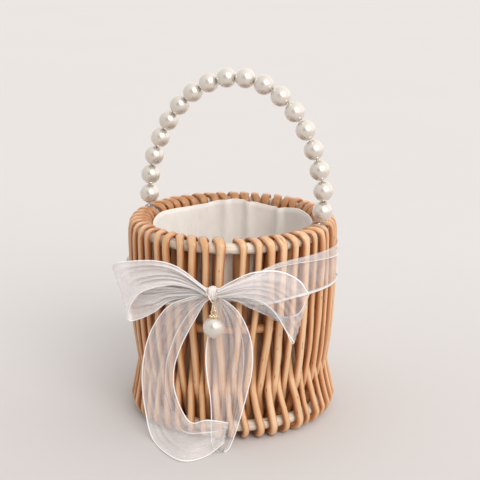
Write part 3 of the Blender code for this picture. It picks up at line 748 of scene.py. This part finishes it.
bead_tree, given, leave = new_tree("Bead on a wire", [
    ("Radius", "Float", PEARL_RADIUS), ("Centre", "Vector", None), ("Along", "Vector", None),
    ("Finish", "Material", None)])
ball = put(bead_tree, "GeometryNodeMeshUVSphere", {"Segments": 40, "Rings": 22, "Radius": given["Radius"]})
spot = put(bead_tree, "GeometryNodeInputPosition").outputs[0]
tall = put(bead_tree, "ShaderNodeSeparateXYZ", {0: spot}).outputs[2]
near = calc(bead_tree, "MULTIPLY", given["Radius"], 0.998)
pole = calc(bead_tree, "GREATER_THAN", calc(bead_tree, "ABSOLUTE", tall), near)
sunk = vector_calc(bead_tree, "SCALE", spot, scale=-0.3)
drilled = put(bead_tree, "GeometryNodeSetPosition",
              {"Geometry": ball.outputs["Mesh"], "Selection": pole, "Offset": sunk}).outputs[0]
where = put(bead_tree, "GeometryNodePoints", {"Count": 1, "Position": given["Centre"]}).outputs[0]
turn = put(bead_tree, "FunctionNodeAlignRotationToVector", {"Vector": given["Along"]}, axis="Z")
turn = turn.outputs[0]
placed = put(bead_tree, "GeometryNodeInstanceOnPoints",
             {"Points": where, "Instance": drilled, "Rotation": turn}).outputs[0]
end_tree(bead_tree, placed, given["Finish"], leave)


def bead(name, centre, along, body, replaced, radius=PEARL_RADIUS):
    values = {"Radius": radius, "Centre": tuple(centre), "Along": tuple(along), "Finish": pearl_finish}
    return bake(name, bpy.data.meshes.new("empty"), bead_tree, values, body, [replaced])


# %% All the beads
joints = {joint["name"]: joint for joint in frame["record"]["behaviour"]["joints"]}
centres = []
for k in range(1, 19):
    joint = joints["spin_pearl_%02d" % k]
    centres.append(Vector(joint["pos_m"]))
    bead("bead_%02d" % k, centres[-1], Vector(joint["axis"]), joint["child"], "pearl_%02d" % k)
print("pearls:", len(centres), "pitch", round((centres[1] - centres[0]).length * 1000, 2), "mm")

# %% [markdown]
# ## The handle wire and its rings
#
# The wire bends only between pearls and ends in a small eye on each side, which hangs in a round
# ring. Both are lines of points swept with the rod tree.

# %% Wire and rings
WIRE_RADIUS = 0.0006
EYE_RADIUS = 0.00145
RING_RADIUS = 0.0056
RING_WIRE = 0.0005
RING_X = 0.0654
HINGE = Vector(joints["handle_swing"]["pos_m"])


def eye_points(side):
    centre = Vector((side * RING_X, 0, HINGE.z))
    turns = [math.radians(90 - 20 * k) for k in range(17)]
    return [centre + EYE_RADIUS * Vector((0, math.cos(a), math.sin(a))) for a in turns]


between = [(a + b) / 2 for a, b in zip(centres, centres[1:])]
wire_line = list(reversed(eye_points(-1))) + between + eye_points(1)
bake("handle_wire_smooth", line_mesh(wire_line), rod_tree,
     {"Rod radius": WIRE_RADIUS, "Sides": 10, "Seed": 5, "Finish": steel_finish}, "handle", ["handle_wire"])
for label, side in (("left", -1), ("right", 1)):
    centre = Vector((side * RING_X, 0, HINGE.z - RING_RADIUS))
    points = ring_points(centre, RING_RADIUS, UP, RIGHT, 48)
    bake("ring_" + label, line_mesh(points), rod_tree,
         {"Rod radius": RING_WIRE, "Sides": 10, "Closed": True, "Seed": 6, "Finish": steel_finish},
         "basket", ["handle_ring_" + label])

# %% [markdown]
# ## Organza
#
# Organza is a stiff, sheer weave. Light passes between its threads, so the finish is a pale
# surface that is only partly there: its alpha is low in the field and full at the two selvages,
# where the threads are doubled. The ribbon's own map says where that is: `u` runs across it and
# `v` along it, both in metres. Fine streaks follow the threads, and a few metallic ones glint.

# %% Organza finish
RIBBON_WIDE = 0.038
SELVAGE = 0.0010


def organza(name, field, gathered):
    made, tree, shader = new_finish(name, Specular_IOR_Level=0.4, Sheen_Weight=1.0, Sheen_Roughness=0.6)
    uv = put(tree, "ShaderNodeUVMap", uv_map="cloth").outputs[0]
    edge = remap(tree, attribute(tree, "selvage"), 0.25, 0.75)
    threads = cloudy(tree, stretched(tree, uv, (6000.0, 260.0, 1.0)), 1.0, 2.0)
    across = cloudy(tree, stretched(tree, uv, (300.0, 5200.0, 1.0)), 1.0, 2.0)
    clouds = cloudy(tree, stretched(tree, uv, (160.0, 60.0, 1.0)), 1.0, 2.0)
    weave = calc(tree, "ADD", calc(tree, "MULTIPLY", threads, 0.55), calc(tree, "MULTIPLY", across, 0.45))
    sheer = remap(tree, weave, 0.35, 0.65, field - 0.08, field + 0.08)
    sheer = calc(tree, "ADD", sheer, remap(tree, clouds, 0.3, 0.7, -0.04, 0.04))
    sheer = calc(tree, "ADD", sheer, calc(tree, "MULTIPLY", attribute(tree, "gather"), gathered))
    alpha = put(tree, "ShaderNodeMix", {0: edge, 2: sheer, 3: 0.93}).outputs[0]
    tree.links.new(alpha, shader.inputs["Alpha"])
    tone = blend_colours(tree, edge, (0.97, 0.925, 0.915, 1), (0.98, 0.965, 0.96, 1))
    tree.links.new(tone, shader.inputs["Base Color"])
    glint = remap(tree, cloudy(tree, stretched(tree, uv, (2600.0, 2600.0, 1.0)), 1.0, 1.0), 0.72, 0.76)
    tree.links.new(remap(tree, glint, 0.0, 1.0, 0.55, 0.18), shader.inputs["Roughness"])
    tree.links.new(relief(tree, weave, 0.2, 0.0001), shader.inputs["Normal"])
    return made


organza_finish = organza("organza", 0.150, 0.36)
soft_organza = organza("soft_organza", 0.225, 0.36)
full_organza = organza("full_organza", 0.51, 0.32)

# %% [markdown]
# ## A ribbon from its two selvages
#
# A bow is easiest to describe by the two edges of its ribbon. Each station gives both edges in
# the bow's own directions: across the front, out from the basket's axis, and up. A smooth curve
# runs through the stations, and the cloth between the edges gets a belly and a set of pleats
# that fade away from the knot. Solidify then gives the sheet a hair's thickness.

# %% Cloth with a map, and a hair's thickness
SELVAGE_THICK = 0.00055
THIN_SHARE = 0.35


def cloth_mesh(name, points, faces, uvs, gathers, selvages, finish):
    """A smooth mesh with the map and the two numbers that the organza reads."""
    mesh = bpy.data.meshes.new(name)
    mesh.from_pydata([tuple(p) for p in points], [], faces)
    layer = mesh.uv_layers.new(name="cloth")
    for corner in mesh.loops:
        layer.data[corner.index].uv = uvs[corner.vertex_index]
    mesh.attributes.new("gather", "FLOAT", "POINT").data.foreach_set("value", gathers)
    mesh.attributes.new("selvage", "FLOAT", "POINT").data.foreach_set("value", selvages)
    mesh.shade_smooth()
    mesh.materials.append(finish)
    return mesh


def thicken(piece, selvages, thickness):
    """Full thickness on the selvages, and less between them."""
    group = piece.vertex_groups.new(name="thick")
    for n, amount in enumerate(selvages):
        group.add([n], 1.0 if amount else THIN_SHARE, "REPLACE")
    wall = piece.modifiers.new("Thickness", "SOLIDIFY")
    wall.thickness = thickness
    wall.offset = 0
    wall.vertex_group = "thick"


# %% Ribbon builder
BOW_ANGLE = math.radians(-76.0)
OUT = Vector((math.cos(BOW_ANGLE), math.sin(BOW_ANGLE), 0))
ACROSS = Vector((-math.sin(BOW_ANGLE), math.cos(BOW_ANGLE), 0))
KNOT_Z = 0.1100
KNOT_DEPTH = 0.0808
PLEATS = 5.3
FULLNESS = 0.86
ROWS_PER_STATION = 10
COLUMNS = 64


def bow_point(across, depth, z):
    return ACROSS * across + OUT * depth + UP * z


def ribbon(name, stations, replaced, finish=organza_finish, creases=(),
           fullness=FULLNESS):
    """Stations are (edge a, edge b, belly, pleat depth, gather); edges are (across, depth, z) in mm."""
    rows = smooth_path([a + b + (belly, pleat, gather) for a, b, belly, pleat, gather in stations],
                       ROWS_PER_STATION)
    count = len(rows)
    edge_a = [bow_point(*(row[:3] / 1000)) for row in rows]
    edge_b = [bow_point(*(row[3:6] / 1000)) for row in rows]
    middle = [(a + b) / 2 for a, b in zip(edge_a, edge_b)]
    run = [0.0]
    for a, b in zip(middle, middle[1:]):
        run.append(run[-1] + (b - a).length)
    points, uvs, gathers, selvages = [], [], [], []
    for i, row in enumerate(rows):
        belly, pleat, gather = row[6] / 1000, row[7] / 1000, max(0.0, min(1.0, row[8]))
        along = (middle[min(i + 1, count - 1)] - middle[max(i - 1, 0)]).normalized()
        span = edge_b[i] - edge_a[i]
        normal = span.cross(along)
        normal = normal.normalized() if normal.length > 1e-9 else OUT
        spare = math.sqrt(max(0.0, RIBBON_WIDE**2 - span.length**2))
        pleat += fullness * spare / (4 * PLEATS) * min(1.0, 0.15 + 1.7 * (1 - span.length / RIBBON_WIDE))
        for k in range(COLUMNS + 1):
            u = k / COLUMNS
            fade = min(1.0, 7 * u, 7 * (1 - u))
            drift = 0.6 * noise.noise(Vector((u * 4, run[i] * 9, 3.0 + len(name))))
            wave = math.sin(2 * math.pi * (PLEATS * u + drift))
            wave += 0.35 * math.sin(2 * math.pi * (2.3 * u + 0.31 + 4 * run[i]))
            ripple = 0.0006 * noise.noise(Vector((u * 3, run[i] * 60, len(name))))
            lift = belly * math.sin(math.pi * u) + pleat * wave * fade + ripple * fade
            points.append(edge_a[i] + span * u + normal * lift)
            uvs.append((u * RIBBON_WIDE, run[i]))
            crease = max([math.exp(-((u - at) / 0.012) ** 2) for at in creases], default=0.0)
            gathers.append(min(1.0, 0.75 * gather + 0.25 * gather * wave + crease))
            selvages.append(1.0 if min(u, 1 - u) * RIBBON_WIDE < SELVAGE else 0.0)
    mesh = cloth_mesh(name, points, grid_faces(count, COLUMNS + 1), uvs, gathers, selvages, finish)
    piece = finished(name, mesh, "basket", [replaced])
    thicken(piece, selvages, SELVAGE_THICK)
    print(name, "is", round(run[-1] * 1000), "mm long")


# %% [markdown]
# ## The bow
#
# Two loops, two tails and a knot, all of the same 38 mm ribbon. Each loop leaves the knot in
# tight pleats, opens to its full width, turns over at the far end and comes back behind itself.

# %% Loops
def front(across):
    """How far out the front of a loop lies at a given place across, in mm."""
    return math.sqrt(83.5**2 - (0.80 * across) ** 2)


def back(across):
    return math.sqrt(78.5**2 - (0.90 * across) ** 2)


def place(point, depth):
    """An edge point (across, z), with an optional third number that moves it out or in."""
    nudge = point[2] if len(point) > 2 else 0.0
    return (point[0], depth + nudge, point[1])


def loop(name, front_edges, fold_edges, back_edges, replaced, finish=organza_finish):
    """The edges in mm: along the front, round the fold, and behind back to the knot."""
    stations = []
    for k, (a, b) in enumerate(front_edges):
        gather = max(0.0, 1 - k / 4)
        stations.append((place(a, front(a[0])), place(b, front(b[0])), 0.8 + 0.9 * min(k, 3), 0.15, gather))
    for a, b, shift in fold_edges:
        stations.append((place(a, front(a[0]) * (1 - shift) + back(a[0]) * shift),
                         place(b, front(b[0]) * (1 - shift) + back(b[0]) * shift), 0.6, 0.1, 0.0))
    for k, (a, b) in enumerate(back_edges):
        gather = max(0.0, 1 - (len(back_edges) - 1 - k) / 3)
        stations.append((place(a, back(a[0])), place(b, back(b[0])), 0.6, 0.1, gather))
    ribbon(name, stations, replaced, finish=finish)


loop("loop_left",
     [((-2.4, 112.8), (-2.4, 107.6)), ((-10.0, 118.4), (-10.1, 111.8)), ((-17.5, 123.8), (-22.4, 113.6)),
      ((-26.5, 127.6), (-32.2, 112.0)), ((-39.0, 128.4), (-41.7, 108.5)), ((-56.4, 125.1), (-50.9, 102.6)),
      ((-68.0, 121.0), (-57.3, 93.0))],
     [((-73.6, 113.5), (-61.4, 81.0), 0.45)],
     [((-70.5, 108.5), (-58.6, 78.7)), ((-59.0, 107.5), (-50.0, 83.6)), ((-45.0, 108.0), (-39.5, 91.0)),
      ((-31.0, 109.5), (-28.9, 100.2)), ((-15.0, 110.0), (-14.7, 105.0)), ((-3.0, 110.4), (-3.0, 106.4))],
     "bow_loop_left", full_organza)
loop("loop_right",
     [((4.4, 112.4), (4.4, 107.4)), ((14.1, 118.6), (12.8, 107.8)), ((25.6, 124.1), (20.6, 107.8)),
      ((38.1, 125.6), (29.4, 106.2)), ((48.0, 123.3), (36.6, 102.0)), ((56.7, 117.1), (43.6, 92.6)),
      ((60.6, 110.5), (49.0, 82.0))],
     [((61.8, 105.4), (52.8, 73.4), 0.45)],
     [((60.0, 101.0), (50.4, 72.0)), ((55.0, 91.5), (47.0, 81.5)), ((43.3, 88.8, -5.0), (43.0, 93.0, 5.5)),
      ((35.0, 92.0, -3.5), (35.6, 101.0, 3.0)), ((25.0, 98.5), (26.0, 105.0)), ((14.0, 104.5), (14.0, 109.0)),
      ((4.6, 106.4), (4.6, 110.2))], "bow_loop_right")

# %% Tails
ribbon("tail_left",
       [((-4.0, 80.0, 107.6), (0.0, 80.6, 106.0), 0.2, 0.2, 1.0),
        ((-10.0, 80.0, 106.4), (-4.0, 80.4, 102.4), 0.4, 0.2, 0.8),
        ((-18.0, 78.6, 103.6), (-7.0, 80.0, 97.6), 0.6, 0.2, 0.5),
        ((-29.0, 75.4, 97.6), (-10.4, 79.6, 91.0), 1.0, 0.2, 0.25),
        ((-37.2, 71.5, 88.0), (-15.0, 79.0, 82.5), 1.6, 0.2, 0.1),
        ((-45.5, 66.5, 73.0), (-20.6, 77.8, 71.0), 2.0, 0.2, 0.0),
        ((-51.0, 62.5, 54.0), (-26.0, 76.2, 55.0), 2.0, 0.2, 0.0),
        ((-52.6, 61.6, 35.0), (-26.6, 76.0, 40.0), 1.8, 0.2, 0.0),
        ((-50.0, 64.5, 16.0), (-22.4, 77.5, 27.0), 1.6, 0.2, 0.0),
        ((-43.0, 76.0, 2.0), (-16.6, 79.0, 18.0), 1.4, 0.2, 0.0),
        ((-29.0, 96.0, 0.9), (-11.6, 79.5, 16.6), 1.2, 0.1, 0.0),
        ((-14.0, 106.5, 0.9), (-5.0, 79.5, 19.0), 1.0, 0.1, 0.0),
        ((-1.0, 97.0, 0.9), (4.0, 80.5, 19.6), 0.8, 0.1, 0.0),
        ((9.0, 84.5, 6.0), (11.0, 80.5, 18.6), 0.4, 0.0, 0.0)],
       "ribbon_tail_left", finish=soft_organza, creases=(0.70,),
       fullness=0.6)
ribbon("tail_right",
       [((1.4, 80.4, 106.0), (5.2, 80.6, 106.6), 0.2, 0.2, 1.0),
        ((0.4, 80.2, 99.6), (12.0, 80.2, 102.6), 0.5, 0.2, 0.6),
        ((-1.0, 80.0, 90.0), (19.4, 78.4, 94.0), 0.9, 0.2, 0.3),
        ((-3.0, 79.8, 78.0), (25.0, 76.6, 80.0), 1.4, 0.2, 0.1),
        ((-4.4, 79.6, 64.5), (27.0, 76.0, 66.0), 1.6, 0.2, 0.0),
        ((-3.6, 79.6, 50.0), (26.0, 76.4, 51.0), 1.5, 0.2, 0.0),
        ((-1.6, 79.2, 36.0), (23.0, 77.4, 37.4), 1.2, 0.2, 0.0),
        ((-1.0, 79.0, 21.0), (19.6, 78.6, 24.0), 0.9, 0.2, 0.0),
        ((-1.0, 80.0, 9.0), (15.8, 80.0, 11.0), 0.6, 0.2, 0.0),
        ((1.0, 83.5, 1.6), (12.4, 83.0, 2.0), 0.4, 0.1, 0.0),
        ((6.0, 89.0, 1.0), (10.0, 88.4, 1.0), 0.2, 0.0, 0.0)],
       "ribbon_tail_right", creases=(0.80,), fullness=0.6)

# %% [markdown]
# ## The band round the basket
#
# The same ribbon goes once round, drawn together so that its top edge is turned down, which shows
# as a second pale line below the first. It sits higher on one side, and behind the knot it is
# gathered narrow.

# %% Band
BAND_RADIUS = 0.0746
BAND_Z = 0.1036
BAND_TILT = 0.0100
HIGH_SIDE = math.radians(-30)
BAND_KNOT_Z = 0.1072
NARROW_HALF = 0.0036
WIDER_BY = 0.0100
BAND_THICK = 0.0005


def eased(share):
    share = min(1.0, share)
    return share * share * (3 - 2 * share)


def band_mesh():
    turns, columns = 288, 20
    points, uvs, gathers, selvages = [], [], [], []
    for n in range(turns):
        a = 2 * math.pi * n / turns
        apart = abs((a - BOW_ANGLE + math.pi) % (2 * math.pi) - math.pi)
        ease = eased(apart / math.radians(45))
        z = BAND_KNOT_Z + (BAND_Z + BAND_TILT * math.cos(a - HIGH_SIDE) - BAND_KNOT_Z) * ease
        spread = eased(apart / math.radians(34))
        half = NARROW_HALF + WIDER_BY * spread * (1 - 0.2 * max(0.0, -math.cos(a)))
        turned = (0.0030 + 0.0026 * (1 + math.sin(3 * a + 0.6))) * (0.4 + 0.6 * ease)
        stations = [(0.0, -half), (0.0003, -half * 0.5), (0.0, 0.0), (0.0003, half * 0.6),
                    (0.0, half - 0.0004), (0.0004, half), (0.0008, half - 0.0004),
                    (0.0008, half - turned * 0.6), (0.0007, half - turned)]
        profile = smooth_path(stations, 4)
        keep = np.linspace(0, len(profile) - 1, columns + 1)
        for k, at in enumerate(keep):
            low = int(at)
            high = min(low + 1, len(profile) - 1)
            out, up = profile[low] + (profile[high] - profile[low]) * (at - low)
            sway = 0.0001 * math.sin(46 * a) * (1 - abs(2 * k / columns - 1))
            sway += 0.0003 * noise.noise(Vector((math.cos(a) * 5, math.sin(a) * 5, up * 90)))
            r = BAND_RADIUS + out + max(-0.0002, sway)
            points.append((r * math.cos(a), r * math.sin(a), z + up))
            uvs.append((RIBBON_WIDE * k / columns, a * BAND_RADIUS))
            gathers.append(1 - ease)
            selvages.append(1.0 if k in (0, columns) else 0.0)
    faces = []
    for n in range(turns):
        here, there = n * (columns + 1), (n + 1) % turns * (columns + 1)
        for k in range(columns):
            faces.append((here + k, there + k, there + k + 1, here + k + 1))
    return cloth_mesh("sheer_band", points, faces, uvs, gathers, selvages, organza_finish), selvages


mesh, selvages = band_mesh()
band = finished("sheer_band", mesh, "basket", ["ribbon_band"])
thicken(band, selvages, BAND_THICK)

# %% [markdown]
# ## The knot
#
# The knot is the ribbon wrapped once round everything else and pulled tight, so it is a short
# roll with deep creases running round it, pinched where the pendant's wire goes through.

# %% Knot
KNOT_HALF = (0.0041, 0.0042, 0.0048)
KNOT_SHIFT = 0.0012
KNOT_DROP = 0.0006


def knot_mesh():
    turns, rows = 72, 40
    points, uvs = [], []
    for i in range(rows + 1):
        v = math.pi * i / rows
        for n in range(turns):
            a = 2 * math.pi * n / turns
            x, y, z = math.sin(v) * math.cos(a), math.sin(v) * math.sin(a), math.cos(v)
            crease = 0.10 * math.sin(7 * x * 3.1 + 0.8 * math.sin(3 * z))
            crease += 0.07 * noise.noise(Vector((x * 3, y, z * 1.6)))
            pinch = 1 - 0.16 * (1 - abs(z)) ** 2
            points.append(bow_point(KNOT_SHIFT + KNOT_HALF[0] * x * pinch * (1 + 0.3 * crease),
                                    KNOT_DEPTH - KNOT_HALF[1] * y * (1 + crease),
                                    KNOT_Z - KNOT_DROP + KNOT_HALF[2] * z * (1 + 0.25 * crease)))
            uvs.append((x * 0.008, a * 0.005))
    faces = grid_faces(rows + 1, turns, closed=True)
    mesh = cloth_mesh("knot", points, faces, uvs, [1.0] * len(points), [0.0] * len(points),
                      organza("gathered_organza", 0.44, 0.26))
    bm = bmesh.new()
    bm.from_mesh(mesh)
    bmesh.ops.remove_doubles(bm, verts=bm.verts, dist=1e-7)
    bmesh.ops.recalc_face_normals(bm, faces=bm.faces)
    bm.to_mesh(mesh)
    bm.free()
    mesh.shade_smooth()
    return mesh


knot = finished("tied_knot", knot_mesh(), "basket", ["bow_knot"])

# %% [markdown]
# ## The pearl drop
#
# A fine gold wire goes through the knot and closes in a V. A jump ring hangs on it, then a little
# eyelet on a cap with a beaded edge, and one more pearl on a pin.

# %% Pendant
def middle_of(node):
    low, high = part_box(node)
    return (low + high) / 2


HOOK_WIRE = 0.00035
HOOK_THIN_WIRE = 0.00026
FOOT_ACROSS = 0.0028
JUMP_RING_RADIUS = 0.0028
EYELET_RADIUS = 0.0016
drop_centre = middle_of("pendant_pearl")
HOOK_DEPTH = drop_centre.dot(OUT)
HOOK_LOW_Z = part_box("pendant_hook")[0].z + HOOK_WIRE
EYELET_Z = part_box("pendant_cap")[1].z - EYELET_RADIUS - HOOK_WIRE


def gold_wire(name, points, body, replaced, radius=HOOK_WIRE):
    values = {"Rod radius": radius, "Sides": 10, "Closed": True, "Seed": 7, "Finish": gold_finish}
    bake(name, line_mesh(points), rod_tree, values, body, replaced)


arm = [(2.2, -2.0, 1.6), (3.0, 3.4, 1.4), (3.1, 5.0, 0.2)]
foot = [(0.5, 0.5), (0, 0), (-0.5, 0.5)]
path = [(1.3 + a, KNOT_DEPTH * 1000 + d, KNOT_Z * 1000 + z) for a, d, z in arm]
path += [(FOOT_ACROSS * 1000 + a, HOOK_DEPTH * 1000, HOOK_LOW_Z * 1000 + lift) for a, lift in foot]
path += [(1.3 - a, KNOT_DEPTH * 1000 + d, KNOT_Z * 1000 + z) for a, d, z in reversed(arm)]
hook_line = [bow_point(*(p / 1000)) for p in smooth_path(path, 4)]
gold_wire("hook_wire", hook_line, "basket", ["pendant_hook"], HOOK_THIN_WIRE)
jump_ring_line = ring_points(middle_of("pendant_ring"), JUMP_RING_RADIUS, UP, OUT, 40)
gold_wire("jump_ring_wire", jump_ring_line, "jump_ring", ["pendant_ring"])

# %% Cap
CAP_OUT = PEARL_RADIUS + 0.0009
CAP_IN = PEARL_RADIUS + 0.0003
CAP_EDGE = 0.30
CAP_TOP = 0.10
CAP_SPAN = 0.20
GRAIN_ANGLE = 0.27


def drop_cap():
    """The cap and a short stem up to the eyelet, as one gold mesh on the drop."""
    bm = bmesh.new()
    steps = 32
    stem = EYELET_Z - drop_centre.z
    outer_turns = [CAP_EDGE - CAP_SPAN * k / 6 for k in range(7)]
    inner_turns = [CAP_TOP + CAP_SPAN * k / 6 for k in range(7)]
    profile = [(CAP_OUT * math.sin(a), CAP_OUT * math.cos(a)) for a in outer_turns]
    profile += [(0.0009, PEARL_RADIUS + 0.0016), (0.0007, stem - 0.0014), (0.0, stem - 0.0012), (0.0, CAP_IN)]
    profile += [(CAP_IN * math.sin(a), CAP_IN * math.cos(a)) for a in inner_turns]
    rings = []
    for r, z in profile:
        if r == 0.0:
            rings.append([bm.verts.new(drop_centre + UP * z)] * steps)
            continue
        rings.append([bm.verts.new(drop_centre + UP * z + r * (math.cos(2 * math.pi * n / steps) * ACROSS
                                                                + math.sin(2 * math.pi * n / steps) * OUT))
                      for n in range(steps)])
    for i in range(len(rings)):
        first, second = rings[i], rings[(i + 1) % len(rings)]
        for n in range(steps):
            m = (n + 1) % steps
            corners = []
            for vert in (first[n], first[m], second[m], second[n]):
                if vert not in corners:
                    corners.append(vert)
            if len(corners) > 2:
                bm.faces.new(corners)
    bmesh.ops.recalc_face_normals(bm, faces=bm.faces)
    mesh = bpy.data.meshes.new("drop_cap")
    bm.to_mesh(mesh)
    bm.free()
    mesh.shade_smooth()
    mesh.materials.append(gold_finish)
    return mesh


finished("drop_cap", drop_cap(), "drop", ["pendant_cap"])
eyelet_line = ring_points(bow_point(FOOT_ACROSS, HOOK_DEPTH, EYELET_Z), EYELET_RADIUS, UP, ACROSS, 32)
gold_wire("eyelet", eyelet_line, "drop", [])

# %% Grains round the cap's edge
grain_tree, given, leave = new_tree("Grains round the cap", [
    ("Grains", "Int", 6), ("Grain radius", "Float", 0.00095), ("Finish", "Material", None)])
line = put(grain_tree, "GeometryNodeMeshToCurve", {0: given["Geometry"]}).outputs[0]
line = put(grain_tree, "GeometryNodeSetSplineCyclic", {0: line, 2: True}).outputs[0]
dots = put(grain_tree, "GeometryNodeCurveToPoints", {0: line, 1: given["Grains"]}, mode="COUNT").outputs[0]
ball = put(grain_tree, "GeometryNodeMeshUVSphere",
           {"Segments": 14, "Rings": 9, "Radius": given["Grain radius"]}).outputs["Mesh"]
grains = put(grain_tree, "GeometryNodeInstanceOnPoints", {"Points": dots, "Instance": ball}).outputs[0]
end_tree(grain_tree, grains, given["Finish"], leave)
rim_of_cap = drop_centre + UP * CAP_OUT * math.cos(GRAIN_ANGLE)
around = ring_points(rim_of_cap, CAP_OUT * math.sin(GRAIN_ANGLE), ACROSS, OUT, 44)
bake("cap_grains", line_mesh(around), grain_tree, {"Finish": gold_finish}, "drop", [])
pin_low = drop_centre - UP * (PEARL_RADIUS + 0.0002)
bake("pin_head", line_mesh([pin_low + UP * 0.0004, pin_low, pin_low - UP * 0.0003]), rod_tree,
     {"Rod radius": 0.0010, "Sides": 16, "Seed": 8, "Finish": gold_finish}, "drop", ["pendant_pin"])
bead("drop_bead", drop_centre, UP, "drop", "pendant_pearl")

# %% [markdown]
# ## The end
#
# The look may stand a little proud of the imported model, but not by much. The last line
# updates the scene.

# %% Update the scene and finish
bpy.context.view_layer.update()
